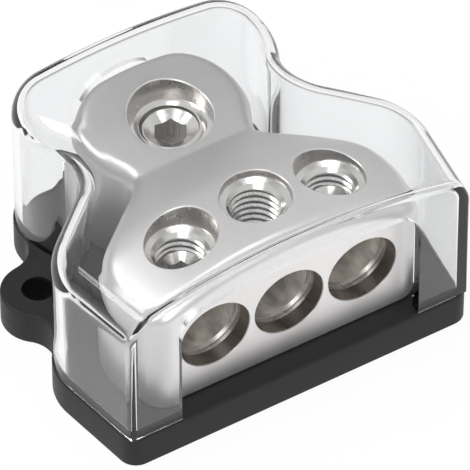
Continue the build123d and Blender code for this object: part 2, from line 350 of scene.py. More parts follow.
def near(point, ring, reach):
    """Whether a point lies within reach of one of a ring's points."""
    for other in ring:
        apart = other - point
        if abs(apart.x) < reach and abs(apart.y) < reach and apart.length < reach:
            return True
    return False


def side_slope(sizes, front_y):
    """How much each side widens per length between the front and the shoulders."""
    front, shoulder, back = mm(sizes, "front_width", "shoulder_width", "shoulder_back")
    return (shoulder - front) / 2 / (FRONT_Y + back - front_y)


def bell_corners(sizes, front_y, end_y, ahead=0.0):
    """The right half's corners of a bell-shaped plan, its sides drawn on ahead of its front."""
    widths = mm(sizes, "front_width", "shoulder_width", "neck_width", "lobe_width")
    front, shoulder, neck, lobe = [width / 2 for width in widths]
    backs = mm(sizes, "shoulder_back", "neck_back", "lobe_back")
    shoulder_y, neck_y, lobe_y = [FRONT_Y + back for back in backs]
    first = (front - side_slope(sizes, front_y) * ahead, front_y - ahead)
    return [first, (shoulder, shoulder_y), (neck, neck_y), (lobe, lobe_y), (lobe, end_y)]


def cover_outline(sizes, ahead, front_radius):
    """The cover's plan, its sides drawn on by a length ahead of its front."""
    corners = bell_corners(sizes, COVER_LOW.y, COVER_HIGH.y, ahead)
    return rounded_outline(corners, (front_radius, *COVER_RADII))


# Meshes, built in millimetres


def mesh_object(name, vertices, faces):
    """An object with a mesh of these vertices and faces."""
    mesh = bpy.data.meshes.new(name)
    mesh.from_pydata([tuple(c * MM for c in v) for v in vertices], [], faces)
    mesh.update()
    piece = bpy.data.objects.new(name, mesh)
    bpy.context.scene.collection.objects.link(piece)
    return piece


def shade(piece, degrees):
    """Smooth shading, with the edges sharper than an angle left sharp."""
    mesh = piece.data
    mesh.shade_smooth()
    mesh.set_sharp_from_angle(angle=math.radians(degrees))


def band(first, second, count):
    """The faces between two rings of vertices that start at these indices."""
    pairs = [(i, (i + 1) % count) for i in range(count)]
    return [(first + i, first + j, second + j, second + i) for i, j in pairs]


def topped_body(name, outline, low, top, rim, grid, rim_steps=8, foot=0.0):
    """A solid with upright sides, a rounded upper rim and a top that follows a height function."""
    rings = []
    if foot:
        rings.append([(p.x, p.y, low) for p in moved_in(outline, foot)])
    rings.append([(p.x, p.y, low + foot) for p in outline])
    for k in range(rim_steps + 1):
        across, up = polar(1, math.pi / 2 * k / rim_steps)
        ring = moved_in(outline, rim * (1 - across))
        rings.append([(p.x, p.y, top(p.x, p.y) - rim * (1 - up)) for p in ring])
    count = len(outline)
    vertices = [v for ring in rings for v in ring]
    faces = []
    for r in range(len(rings) - 1):
        faces += band(r * count, (r + 1) * count, count)
    faces.append(tuple(reversed(range(count))))
    # The top: the last ring and a grid of spots within it, joined by triangles
    rim_ring = [Vector(v[:2]) for v in rings[-1]]
    xs = [p.x for p in rim_ring]
    ys = [p.y for p in rim_ring]
    spots = list(rim_ring)
    for r in range(int((max(ys) - min(ys)) / grid) + 1):
        for c in range(int((max(xs) - min(xs)) / grid) + 1):
            spot = Vector((min(xs) + (c + 0.5 * (r % 2)) * grid, min(ys) + r * grid))
            if inside(spot, rim_ring) and not near(spot, rim_ring, 0.45 * grid):
                spots.append(spot)
    flat, _, triangles, origins, _, _ = delaunay_2d_cdt(spots, [], [list(range(count))], 1, 1e-6)
    last = len(vertices) - count
    places = {}
    for k, spot in enumerate(flat):
        if origins[k] and origins[k][0] < count:
            places[k] = last + origins[k][0]
        else:
            places[k] = len(vertices)
            vertices.append((spot.x, spot.y, top(spot.x, spot.y)))
    faces += [tuple(places[k] for k in triangle) for triangle in triangles]
    return mesh_object(name, vertices, faces)


def turned_body(name, profile, segments=96):
    """A solid turned about Z from a profile of (radius, height) with both ends on the axis."""
    vertices = [(0, 0, profile[0][1])]
    inner = profile[1:-1]
    for radius, height in inner:
        for i in range(segments):
            vertices.append((*polar(radius, 2 * math.pi * i / segments), height))
    vertices.append((0, 0, profile[-1][1]))
    end = len(vertices) - 1
    last = end - segments
    faces = [(0, 1 + (i + 1) % segments, 1 + i) for i in range(segments)]
    for r in range(len(inner) - 1):
        faces += band(1 + r * segments, 1 + (r + 1) * segments, segments)
    faces += [(last + i, last + (i + 1) % segments, end) for i in range(segments)]
    return mesh_object(name, vertices, faces)


def prism(name, ring, far_ring):
    """A solid between two rings with the same number of points."""
    count = len(ring)
    caps = [tuple(reversed(range(count))), tuple(range(count, 2 * count))]
    piece = mesh_object(name, [*ring, *far_ring], band(0, count, count) + caps)
    fixed = bmesh.new()
    fixed.from_mesh(piece.data)
    bmesh.ops.recalc_face_normals(fixed, faces=fixed.faces)
    fixed.to_mesh(piece.data)
    fixed.free()
    return piece


def clip(form, point, normal):
    """Cut a form off by a plane and leave it open there."""
    everything = form.verts[:] + form.edges[:] + form.faces[:]
    bmesh.ops.bisect_plane(
        form, geom=everything, plane_co=point, plane_no=normal, clear_outer=True
    )


def threaded_rod(name, radius, pitch, depth, low, high, segments=72):
    """A closed rod with a helical thread groove and flat ends, its faces laid along the helix.
    The second finish, painted shade, goes to the groove's outer part, as it lies when the rod cuts
    a hole."""
    # One turn of the thread: shares of the pitch, and of the groove's depth
    profile = [(0.0, 0.0), (0.14, 0.0), (0.36, 0.58), (0.52, 1.0), (0.62, 1.0)]
    turns = math.ceil((high - low) / pitch) + 3
    vertices = []
    for i in range(segments):
        for turn in range(turns):
            for share, out in profile:
                z = low + pitch * (turn - 2 + share + i / segments)
                reach = radius - depth * (1 - out)
                vertices.append((*polar(reach, 2 * math.pi * i / segments), z))
    row = turns * len(profile)
    faces, groove = [], []
    for i in range(segments):
        # The last row meets the first one a whole turn higher
        shift = len(profile) if i == segments - 1 else 0
        here, there = i * row, ((i + 1) % segments) * row + shift
        for k in range(row - shift - 1):
            groove.append(k % len(profile) >= 2)
            faces.append((here + k, there + k, there + k + 1, here + k + 1))
    rod = mesh_object(name, vertices, faces)
    # The groove's outer faces take the second finish, which is painted shade in a cut thread
    for face, dark in zip(rod.data.polygons, groove):
        face.material_index = 1 if dark else 0
    form = bmesh.new()
    form.from_mesh(rod.data)
    for level, side in ((low * MM, -1), (high * MM, 1)):
        clip(form, (0, 0, level), (0, 0, side))
        open_edges = [edge for edge in form.edges if edge.is_boundary]
        rim = [e for e in open_edges if all(abs(v.co.z - level) < 1e-7 for v in e.verts)]
        bmesh.ops.holes_fill(form, edges=rim, sides=0)
    bmesh.ops.recalc_face_normals(form, faces=form.faces)
    form.to_mesh(rod.data)
    form.free()
    return rod


def round_front(piece, y, radius, slope, steps=5):
    """Cut a piece off across Y and close it with a flat front whose rim is rounded by a radius."""
    form = bmesh.new()
    form.from_mesh(piece.data)
    clip(form, (0, (y + radius) * MM, 0), (0, -1, 0))
    # The open rim's vertices in their order round it
    rim = [edge for edge in form.edges if len(edge.link_faces) == 1]
    follow = {}
    for edge in rim:
        for vert in edge.verts:
            follow.setdefault(vert, []).append(edge.other_vert(vert))
    chain = [rim[0].verts[0], rim[0].verts[1]]
    while len(chain) < len(follow):
        chain.append([v for v in follow[chain[-1]] if v is not chain[-2]][0])
    loop = [(v.co.x, v.co.z) for v in chain]
    if sum(a[0] * b[1] - b[0] * a[1] for a, b in zip(loop, loop[1:] + loop[:1])) < 0:
        chain.reverse()
    loop = [Vector((v.co.x, v.co.z)) for v in chain]
    lowest = min(p.y for p in loop)
    last = chain
    for k in range(1, steps + 1):
        across, ahead = polar(1, math.pi / 2 * k / steps)
        ring = []
        for old, new in zip(loop, moved_in(loop, radius * (1 - across) * MM)):
            height = old.y if old.y < lowest + 1e-6 else new.y
            narrow = slope * radius * ahead * MM * (1 if new.x < 0 else -1)
            spot = (new.x + narrow, (y + radius * (1 - ahead)) * MM, height)
            ring.append(form.verts.new(spot))
        for i in range(len(ring)):
            j = (i + 1) % len(ring)
            form.faces.new((last[i], last[j], ring[j], ring[i]))
        last = ring
    form.faces.new(last)
    bmesh.ops.recalc_face_normals(form, faces=form.faces)
    form.to_mesh(piece.data)
    form.free()
    return piece


def place(piece, move=(0, 0, 0), turn=(0, 0, 0)):
    """Turn a piece by degrees and move it, in its mesh, so that its object stays at the origin."""
    matrix = Euler([math.radians(a) for a in turn]).to_matrix().to_4x4()
    matrix.translation = Vector(move) * MM
    piece.data.transform(matrix)
    piece.data.update()
    return piece


def cut(piece, cutters, operation="DIFFERENCE"):
    """Apply boolean cutters to a piece and remove them."""
    for cutter in cutters:
        modifier = piece.modifiers.new("cut", "BOOLEAN")
        modifier.operation = operation
        modifier.solver = "EXACT"
        modifier.material_mode = "TRANSFER"
        modifier.object = cutter
    depsgraph = bpy.context.evaluated_depsgraph_get()
    mesh = bpy.data.meshes.new_from_object(piece.evaluated_get(depsgraph))
    piece.modifiers.clear()
    old = piece.data
    mesh.name = old.name
    piece.data = mesh
    bpy.data.meshes.remove(old)
    for cutter in cutters:
        data = cutter.data
        bpy.data.objects.remove(cutter)
        bpy.data.meshes.remove(data)
    return piece


def coat(piece, *finishes):
    """Give a piece its finishes before it is cut, so that a cut keeps the finish of its cutter.
    A single finish goes on every face."""
    for finish in finishes:
        piece.data.materials.append(finish)
    if len(finishes) == 1:
        for face in piece.data.polygons:
            face.material_index = 0
    return piece


def finish_piece(piece, body, slot_name, *nodes):
    """Let a piece ride on its body, in place of the frame's nodes."""
    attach(piece, body)
    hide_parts(*nodes)


# Finishes


def new_material(name, tint):
    """A material with its nodes, links and main shader."""
    material = bpy.data.materials.new(name)
    material.use_nodes = True
    nodes = material.node_tree.nodes
    shader = nodes["Principled BSDF"]
    shader.inputs["Base Color"].default_value = tint
    return material, nodes, material.node_tree.links, shader


def noise(nodes, links, scale, detail, stretch=(1, 1, 1)):
    """Noise in the object's own space, which may be stretched along its axes."""
    spot = nodes.new("ShaderNodeTexCoord")
    mapping = nodes.new("ShaderNodeMapping")
    mapping.inputs["Scale"].default_value = stretch
    texture = nodes.new("ShaderNodeTexNoise")
    texture.inputs["Scale"].default_value = scale
    texture.inputs["Detail"].default_value = detail
    texture.inputs["Roughness"].default_value = 0.55
    links.new(spot.outputs["Object"], mapping.inputs["Vector"])
    links.new(mapping.outputs["Vector"], texture.inputs["Vector"])
    return texture.outputs["Fac"]


def mapped(nodes, links, value, source, target, smooth=False):
    """A value mapped from one range to another."""
    node = nodes.new("ShaderNodeMapRange")
    if smooth:
        node.interpolation_type = "SMOOTHSTEP"
    for name, limit in zip(("From Min", "From Max", "To Min", "To Max"), (*source, *target)):
        node.inputs[name].default_value = limit
    links.new(value, node.inputs["Value"])
    return node.outputs["Result"]


def spread(nodes, links, value, low, high):
    """The middle range of a noise stretched to run from low to high."""
    return mapped(nodes, links, value, (0.3, 0.7), (low, high))


def combined(nodes, links, operation, first, second):
    """Two values brought together, of which the second may be a plain number."""
    node = nodes.new("ShaderNodeMath")
    node.operation = operation
    links.new(first, node.inputs[0])
    if isinstance(second, float):
        node.inputs[1].default_value = second
    else:
        links.new(second, node.inputs[1])
    return node.outputs[0]


def shaded(nodes, links, shader, tint, share):
    """Darken the base colour by a share that varies over the surface."""
    mix = nodes.new("ShaderNodeMix")
    mix.data_type = "RGBA"
    mix.blend_type = "MULTIPLY"
    mix.inputs["Factor"].default_value = 1.0
    mix.inputs["A"].default_value = tint
    links.new(share, mix.inputs["B"])
    links.new(mix.outputs["Result"], shader.inputs["Base Color"])


def bump(nodes, links, shader, value, strength, distance):
    """Fine relief, its depth in millimetres."""
    node = nodes.new("ShaderNodeBump")
    node.inputs["Strength"].default_value = strength
    node.inputs["Distance"].default_value = distance * MM
    links.new(value, node.inputs["Height"])
    links.new(node.outputs["Normal"], shader.inputs["Normal"])


def grained(name, tint, grain, rough, metallic=0.0, specular=0.5, relief=None):
    """A finish whose roughness varies with a fine grain, given by its scale and detail."""
    material, nodes, links, shader = new_material(name, tint)
    shader.inputs["Metallic"].default_value = metallic
    shader.inputs["Specular IOR Level"].default_value = specular
    value = noise(nodes, links, *grain)
    links.new(spread(nodes, links, value, *rough), shader.inputs["Roughness"])
    if relief:
        bump(nodes, links, shader, value, *relief)
    return material


def satin_nickel(finishes):
    """Bead-blasted and plated: an even, dull sheen with a fine grain and faint soft patches.
    The base colour is darkened towards the rear lobe: painted shade."""
    material, nodes, links, shader = new_material("satin nickel", finishes.nickel)
    shader.inputs["Metallic"].default_value = 0.93
    grain = noise(nodes, links, 2600.0, 3.0)
    patches = noise(nodes, links, 90.0, 3.0)
    clouds = noise(nodes, links, 45.0, 2.0)
    spot = nodes.new("ShaderNodeTexCoord")
    axes = nodes.new("ShaderNodeSeparateXYZ")
    links.new(spot.outputs["Object"], axes.inputs["Vector"])
    # Painted shade: the base colour falls off from the front towards the rear lobe
    painted_rear_shade = mapped(nodes, links, axes.outputs["Y"], (-0.024, 0.016), (1.0, 0.64))
    cloudy = spread(nodes, links, clouds, 0.92, 1.0)
    share = combined(nodes, links, "MULTIPLY", painted_rear_shade, cloudy)
    shaded(nodes, links, shader, finishes.nickel, share)
    links.new(spread(nodes, links, patches, 0.40, 0.48), shader.inputs["Roughness"])
    bump(nodes, links, shader, grain, 0.35, 0.03)
    return material


def machined_nickel(name, tint):
    """Turned faces, with fine streaks along the bores."""
    material, nodes, links, shader = new_material(name, tint)
    shader.inputs["Metallic"].default_value = 1.0
    streaks = noise(nodes, links, 1100.0, 3.0, (1.0, 0.06, 1.0))
    tone = noise(nodes, links, 170.0, 2.0, (1.0, 0.2, 1.0))
    shaded(nodes, links, shader, tint, spread(nodes, links, tone, 0.65, 1.0))
    links.new(spread(nodes, links, streaks, 0.24, 0.38), shader.inputs["Roughness"])
    bump(nodes, links, shader, streaks, 0.1, 0.03)
    return material


def drilled_nickel(finishes):
    """The bores behind their mouths: a dull, warm grey with cloudy patches, partly the drilled
    metal's own colour and partly painted reflected light.
    """
    material, nodes, links, shader = new_material("drilled nickel", finishes.drilled)
    shader.inputs["Metallic"].default_value = 0.2
    shader.inputs["Roughness"].default_value = 0.5
    clouds = noise(nodes, links, 330.0, 3.0, (1.0, 0.6, 1.0))
    shaded(nodes, links, shader, finishes.drilled, spread(nodes, links, clouds, 0.4, 1.0))
    bump(nodes, links, shader, clouds, 0.4, 0.1)
    return material


def broached(name, tint):
    """A wall of a hexagon socket, with the broach's fine upright streaks."""
    material, nodes, links, shader = new_material(name, tint)
    shader.inputs["Metallic"].default_value = 0.7
    streaks = noise(nodes, links, 1500.0, 2.0, (1.0, 1.0, 0.05))
    shaded(nodes, links, shader, tint, spread(nodes, links, streaks, 0.55, 1.0))
    links.new(spread(nodes, links, streaks, 0.3, 0.5), shader.inputs["Roughness"])
    return material


def bright_edge(finishes):
    """A narrow bevel that catches the light."""
    material, _, _, shader = new_material("bright edge", finishes.edge)
    shader.inputs["Metallic"].default_value = 0.6
    shader.inputs["Roughness"].default_value = 0.35
    return material


def screw_plate(finishes):
    """Smooth plated finish, of the set screws and of the recesses' cones."""
    return grained(
        "plated set screw",
        finishes.screw,
        (1200.0, 4.0),
        (0.14, 0.24),
        metallic=1.0,
        relief=(0.2, 0.015),
    )


def thread_finishes(finishes):
    """The flanks of a cut thread, and the bottoms of its grooves, dull and dark with painted shade.
    """
    flanks = grained(
        "threaded nickel",
        finishes.screw,
        (1200.0, 4.0),
        (0.2, 0.32),
        metallic=1.0,
        relief=(0.15, 0.02),
    )
    grooves = grained("painted shade in thread grooves", finishes.groove, (1200.0, 4.0), (0.4, 0.6), metallic=0.6)
    return flanks, grooves


def clear_plastic(finishes):
    """Glass-clear moulding with a faint haze."""
    material, nodes, links, shader = new_material("clear plastic", finishes.clear)
    shader.inputs["Transmission Weight"].default_value = 1.0
    shader.inputs["IOR"].default_value = 1.5
    haze = noise(nodes, links, 60.0, 2.0)
    links.new(spread(nodes, links, haze, 0.0, 0.03), shader.inputs["Roughness"])
    return material


# The pieces, in millimetres


def softer_least(a, b, width):
    """The lower of two heights, with the change from one to the other rounded."""
    share = max(width - abs(a - b), 0.0) / width
    return min(a, b) - share * share * width / 4


def arch_drop(radius, x):
    """How far an arch lies below its crown, as a negative height."""
    return math.sqrt(radius**2 - x * x) - radius


def block_top(sizes):
    """The height function of the block's top: a level front, a slope down and a rising lobe."""
    front_height, slope_back, end_height = mm(sizes, "front_height", "slope_back", "end_height")
    front_arch, end_arch, depth = mm(sizes, "front_arch", "end_arch", "depth")

    def top(x, y):
        back = y - FRONT_Y
        slope = front_height - (back - slope_back) * math.tan(sizes.slope_angle)
        front = softer_least(front_height, slope, 0.9) + arch_drop(front_arch, x)
        end = end_height - (depth - back) * math.tan(sizes.rise_angle) + arch_drop(end_arch, x)
        return FLOOR_Z - softer_least(-front, -end, 0.25)

    return top


class DISTRIBUTION_OT_terminal_block(bpy.types.Operator):
    """Build the machined terminal block with its bores, recesses and threads"""

    bl_idname = "distribution.terminal_block"
    bl_label = "Terminal block"

    def execute(self, context):
        scene = context.scene
        sizes, bores = scene.distribution_block, scene.distribution_bores
        finishes = scene.distribution_finishes
        end_y = FRONT_Y + sizes.depth / MM
        outline = rounded_outline(bell_corners(sizes, FRONT_Y, end_y), BLOCK_RADII)
        top = block_top(sizes)
        edge, foot, pitch = *mm(sizes, "top_edge", "foot"), bores.pitch / MM
        block = topped_body("terminal_block", outline, FLOOR_Z, top, edge, 0.6, foot=foot)
        coat(block, satin_nickel(finishes))
        machined = machined_nickel("machined nickel", finishes.machined)
        mouth_finish = machined_nickel("turned nickel in mouths", finishes.mouth)
        drilled = drilled_nickel(finishes)
        recess_finishes = (machined, screw_plate(finishes), bright_edge(finishes))
        threaded = thread_finishes(finishes)
        holes = [(x, "output", FRONT_Y, -90) for x in (-pitch, 0.0, pitch)]
        cutters = []
        for x, kind, mouth_y, turn in [*holes, (0.0, "input", end_y, 90)]:
            spot = (x, mouth_y, FLOOR_Z + bores.height / MM)
            mouth, bore = self.bore_cutters(bores, kind)
            cutters.append(coat(place(mouth, spot, (turn, 0, 0)), mouth_finish))
            cutters.append(coat(place(bore, spot, (turn, 0, 0)), drilled))
            recess, thread = self.screw_cutters(scene, kind, x, top)
            cutters.append(coat(recess, *recess_finishes))
            cutters.append(coat(thread, *threaded))
        side, back, hole, depth = mm(
            scene.distribution_base, "hold_side", "hold_back", "hold_hole", "hold_depth"
        )
        for x in (-side, side):
            cutter = turned_body("hold_hole", [(0, -1), (hole, -1), (hole, depth), (0, depth)], 48)
            cutters.append(coat(place(cutter, (x, FRONT_Y + back, FLOOR_Z)), machined))
        cut(block, cutters)
        shade(block, 20)
        finish_piece(block, "base", "satin_nickel", "terminal_block")
        return {"FINISHED"}

    def bore_cutters(self, bores, kind):
        """A bore's mouth, with two bevels and a fine groove between them where it steps down,
        and the narrower part behind it with its drilled end. Both run along Z from the mouth."""
        bore, depth = mm_of(bores, kind, "bore", "depth")
        mouth, mouth_depth = mm_of(bores, kind, "mouth", "mouth_depth")
        edge = 0.12
        middle = (mouth + bore) / 2
        step = mouth_depth + 0.5
        profile = [
            (0, -1),
            (mouth + edge + 1, -1),
            (mouth, edge),
            (mouth, step - 1.2),
            (middle + 0.05, step - 0.72),
            (middle + 0.2, step - 0.62),
            (middle + 0.05, step - 0.52),
            (bore, step),
            (0, step),
        ]
        start = mouth_depth + 0.3
        side = bore - 0.02
        tip = bore / math.tan(math.radians(59.0))
        behind = [(0, start), (side, start), (side, depth), (0, depth + tip)]
        return turned_body("mouth_cutter", profile, 128), turned_body("bore_cutter", behind)

    def screw_cutters(self, scene, kind, x, top):
        """The cutters of a set screw's recess and of its thread."""
        bores, screws = scene.distribution_bores, scene.distribution_screws
        back, radius, lip, shelf, cone = mm_of(
            bores, kind, "screw_back", "recess", "lip", "shelf", "cone"
        )
        screw, pitch, room, flare, gap = mm_of(
            screws, kind, "radius", "pitch", "room", "flare", "gap"
        )
        clearance, depth = mm(screws, "clearance", "thread_depth")
        y = FRONT_Y + back
        lowest = min(top(abs(x) + radius, y), top(x, y - radius), top(x, y + radius))
        floor = lowest - lip
        recess = self.recess_cutter(x, y, top, radius, floor, shelf, cone, screw + clearance, flare)
        low = FLOOR_Z + bores.height / MM
        thread = threaded_rod("thread_cutter", screw + room, pitch, depth, low, floor - cone - gap)
        return recess, place(thread, (x, y, 0))

    def recess_cutter(self, x, y, top, radius, floor, shelf, cone, thread, flare):
        """The recess: a rim bevelled along the block's top, upright walls, and a cone, steeper
        near its lower end, that leads to the thread. Its faces' finishes are the walls' (0), the
        shelf's and the cone's (1) and the rim's (2)."""
        edge, sunk, segments = 0.17, 0.12, 128
        wide = radius + 2 * edge
        profile = [
            (0, floor - cone - sunk),
            (thread - sunk, floor - cone - sunk),
            (thread, floor - cone),
            (thread + flare, floor - 0.4 * cone),
            (shelf, floor),
            (radius, floor),
            (radius, floor + 5),
            (wide, floor + 5),
            (wide, floor + 20),
            (0, floor + 20),
        ]
        cutter = turned_body("recess_cutter", profile, segments)
        # The two rings of the rim follow the block's top
        for ring, drop in ((5, -edge), (6, edge)):
            for vertex in cutter.data.vertices[1 + ring * segments : 1 + (ring + 1) * segments]:
                height = top(x + vertex.co.x / MM, y + vertex.co.y / MM) + drop
                vertex.co.z = height * MM
        for face in cutter.data.polygons:
            reach = math.hypot(face.center.x, face.center.y) / MM
            height = face.center.z / MM
            if height < floor + 0.01:
                face.material_index = 1
            elif radius + 0.02 < reach < wide - 0.02 and height < floor + 12:
                face.material_index = 2
        return place(cutter, (x, y, 0))


class DISTRIBUTION_OT_set_screws(bpy.types.Operator):
    """Build the set screws of the outputs and of the input"""

    bl_idname = "distribution.set_screws"
    bl_label = "Set screws"

    def execute(self, context):
        finishes = context.scene.distribution_finishes
        plate = screw_plate(finishes)
        walls = (
            broached("socket wall, painted light", finishes.socket_painted_light),
            broached("socket wall, painted shade", finishes.socket_painted_shade),
        )
        for side in ("left", "middle", "right"):
            self.build(context.scene, f"output_screw_{side}", "output", plate, walls)
        self.build(context.scene, "input_screw", "input", plate, walls)
        return {"FINISHED"}

    def build(self, scene, node, kind, plate, walls):
        """A set screw that fills its node's box, bevelled at both ends."""
        screws = scene.distribution_screws
        radius, pitch, socket = mm_of(screws, kind, "radius", "pitch", "socket")
        slope = getattr(screws, f"{kind}_mouth_slope")
        low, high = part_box(node)
        bottom, top = low.z / MM, high.z / MM
        depth = screws.thread_depth / MM
        screw = coat(threaded_rod(node + "_threaded", radius, pitch, depth, bottom, top), plate)
        wide = radius + 0.2
        profile = [
            (0, bottom),
            (radius - 0.7, bottom),
            (wide, bottom + 0.9),
            (wide, top - 0.75),
            (radius - 0.55, top),
            (0, top),
        ]
        cut(screw, [coat(turned_body("end_shape", profile), plate)], "INTERSECT")
        mouth = radius - 0.72
        narrow = 0.45 * socket
        below = top - (mouth - narrow) * slope
        profile = [(0, below), (narrow, below), (mouth, top), (mouth, top + 1), (0, top + 1)]
        cone = coat(turned_body("socket_cone", profile), plate)
        hexagon = self.hexagon(socket / 2, top - (top - bottom) * 0.55, top + 1)
        # The walls towards the left get the shaded colour and the others the light one: painted
        # shade and painted light
        coat(hexagon, *walls)
        for face in hexagon.data.polygons:
            face.material_index = 1 if face.center.x / MM < socket / 6 else 0
        cut(screw, [cone, hexagon])
        place(screw, ((low.x + high.x) / 2 / MM, (low.y + high.y) / 2 / MM, 0))
        shade(screw, 28)
        finish_piece(screw, node, "plated_screw", node)

    def hexagon(self, flat, low, high):
        """The cutter of a hexagon socket, from the distance of its flats and its levels."""
        corner = flat / math.cos(math.pi / 6)
        spots = [polar(corner, math.pi / 3 * i - 0.026) for i in range(6)]
        return prism("socket", [(*spot, low) for spot in spots], [(*spot, high) for spot in spots])


class DISTRIBUTION_OT_base(bpy.types.Operator):
    """Build the black base plate with its two ears"""

    bl_idname = "distribution.base"
    bl_label = "Base"

    def execute(self, context):
        scene = context.scene
        sizes, finishes = scene.distribution_base, scene.distribution_finishes
        overhang, corner, edge, foot = mm(sizes, "overhang", "corner", "edge", "foot")
        plan = cover_outline(scene.distribution_cover, 0.0, corner - overhang)
        ring = with_ears(moved_in(plan, -overhang), sizes)
        base = topped_body(
            "base_plate", ring, 0.0, lambda x, y: FLOOR_Z, edge, 4.0, rim_steps=4, foot=foot
        )
        grain = (2500.0, 3.0)
        plastic = grained(
            "matte black plastic",
            finishes.plastic,
            grain,
            (0.42, 0.55),
            specular=0.33,
            relief=(0.3, 0.015),
        )
        # Painted shade: a deeper, less glossy black for the holes than for the plate
        painted_shade_in_holes = grained(
            "matte black plastic, painted shade in holes", finishes.hole, grain, (0.6, 0.8), specular=0.08
        )
        coat(base, plastic)
        above = FLOOR_Z + 1
        spacing, back, hole = mm(sizes, "ear_spacing", "ear_back", "ear_hole")
        ear_hole = [
            (0, -1),
            (hole + 1.2, -1),
            (hole, 0.2),
            (hole, FLOOR_Z - 0.25),
            (hole + 1.25, above),
            (0, above),
        ]
        holes = [("ear_hole", ear_hole, spacing / 2, back)]
        side, back, hole = mm(sizes, "hold_side", "hold_back", "hold_hole")
        seat, height = mm(sizes, "hold_seat", "hold_seat_height")
        hold_seat = [(0, -1), (seat, -1), (seat, height), (hole, height), (hole, above), (0, above)]
        holes.append(("hold_seat", hold_seat, side, back))
        cutters = []
        for name, profile, side, back in holes:
            for x in (-side, side):
                cutter = place(turned_body(name, profile, 64), (x, FRONT_Y + back, 0))
                cutters.append(coat(cutter, painted_shade_in_holes))
        cut(base, cutters)
        shade(base, 32)
        finish_piece(base, "base", "black_plastic", "base")
        return {"FINISHED"}


def with_ears(plan, sizes):
    """The base's plan with both ears joined in, and a hollow rounded between ear and side."""
    spacing, radius, blend = mm(sizes, "ear_spacing", "ear_radius", "ear_blend")
    ear = Vector((spacing / 2, FRONT_Y + sizes.ear_back / MM))

    def ball(turn):
        """The centre of a ball of the blend's radius that touches the ear at this angle."""
        return ear + Vector(polar(1, turn)) * (radius + blend)

    def blend_turn(start, end):
        """The angle at which that ball touches the side as well."""
        for _ in range(40):
            middle = (start + end) / 2
            centre = ball(middle)
            if min((spot - centre).length for spot in plan) > blend:
                start = middle
            else:
                end = middle
        return start

    def arc(centre, reach, start, end, steps):
        turns = [start + (end - start) * k / steps for k in range(steps + 1)]
        return [centre + Vector(polar(1, turn)) * reach for turn in turns]

    def hollow(turn):
        """The arc from the side to the ear, and the index of the side's point where it starts."""
        centre = ball(turn)
        right = [i for i, spot in enumerate(plan) if spot.x > 0]
        index = min(right, key=lambda i: (plan[i] - centre).length)
        to_side, to_ear = plan[index] - centre, ear - centre
        start = math.atan2(to_side.y, to_side.x)
        end = math.atan2(to_ear.y, to_ear.x)
        if end - start > math.pi:
            end -= 2 * math.pi
        if end - start < -math.pi:
            end += 2 * math.pi
        return arc(centre, blend, start, end, 18), index

    front_turn, back_turn = blend_turn(0.0, -math.pi * 0.95), blend_turn(0.0, math.pi * 0.95)
    front_hollow, front_index = hollow(front_turn)
    back_hollow, back_index = hollow(back_turn)
    outer = arc(ear, radius, front_turn, back_turn, 44)
    back_y = plan[back_index].y
    behind = [spot for spot in plan[back_index + 1 :] if spot.y > back_y]
    right = [*plan[:front_index], *front_hollow, *outer, *reversed(back_hollow), *behind]
    right = [spot for spot in right if spot.x > 0]
    return clean_ring(right + [Vector((-spot.x, spot.y)) for spot in reversed(right)])


class DISTRIBUTION_OT_cover(bpy.types.Operator):
    """Build the clear cover with its front window and rear arch"""

    bl_idname = "distribution.cover"
    bl_label = "Cover"

    def execute(self, context):
        scene = context.scene
        sizes = scene.distribution_cover
        wall, arch, edge = mm(sizes, "wall", "arch", "top_edge")
        front_edge, inner_edge = mm(sizes, "front_edge", "inner_front_edge")
        front_y, end_y = COVER_LOW.y, COVER_HIGH.y

        def top(x, y):
            return COVER_HIGH.z + arch_drop(arch, x)

        def ceiling(x, y):
            return top(x, y) - wall

        plastic = clear_plastic(scene.distribution_finishes)
        slope = side_slope(sizes, front_y)
        outline = cover_outline(sizes, 2 * edge + 2, edge + 1)
        outer = topped_body("clear_cover", outline, FLOOR_Z, top, edge, 1.6, rim_steps=14)
        round_front(outer, front_y, front_edge, slope)
        inner = topped_body(
            "hollow", moved_in(outline, wall), FLOOR_Z - 1, ceiling, edge - wall, 1.6, rim_steps=10
        )
        round_front(inner, front_y + wall, inner_edge, slope)
        window = self.through(self.window_outline(sizes, top), front_y - 2, front_y + wall + 2)
        bore_z = FLOOR_Z + scene.distribution_bores.height / MM
        rear = self.through(self.arch_outline(sizes, bore_z), end_y - wall - 2, end_y + 2)
        coat(outer, plastic)
        cut(outer, [coat(cutter, plastic) for cutter in (inner, window, rear)])
        shade(outer, 32)
        finish_piece(outer, "cover", "clear_plastic", "cover")
        return {"FINISHED"}

    def window_outline(self, sizes, top):
        """The front window's (x, z): rounded upper corners and a head that follows the top."""
        half = (sizes.front_width / 2 - sizes.window_side) / MM
        corner, below = mm(sizes, "window_corner", "window_top")
        centre_x = half - corner
        centre_z = top(centre_x, 0) - below - corner
        spots = [polar(corner, math.pi / 2 * k / 12) for k in range(13)]
        near_side = [(centre_x + x, centre_z + z) for x, z in spots]
        xs = [centre_x * (1 - 2 * k / 24) for k in range(1, 24)]
        head = [(x, top(x, 0) - below) for x in xs]
        far_side = [(-x, z) for x, z in reversed(near_side)]
        low = FLOOR_Z - 2
        return [(half, low), *near_side, *head, *far_side, (-half, low)]

    def arch_outline(self, sizes, bore_z):
        """The rear arch's (x, z), round the input bore's axis."""
        radius = sizes.cable_arch / MM
        spots = [polar(radius, math.pi * k / 48) for k in range(49)]
        arc = [(x, bore_z + z) for x, z in spots]
        low = FLOOR_Z - 2
        return [(radius, low), *arc, (-radius, low)]

    def through(self, outline, y0, y1):
        """A cutter that runs along Y, from a closed outline of (x, z)."""
        return prism("opening", [(x, y0, z) for x, z in outline], [(x, y1, z) for x, z in outline])


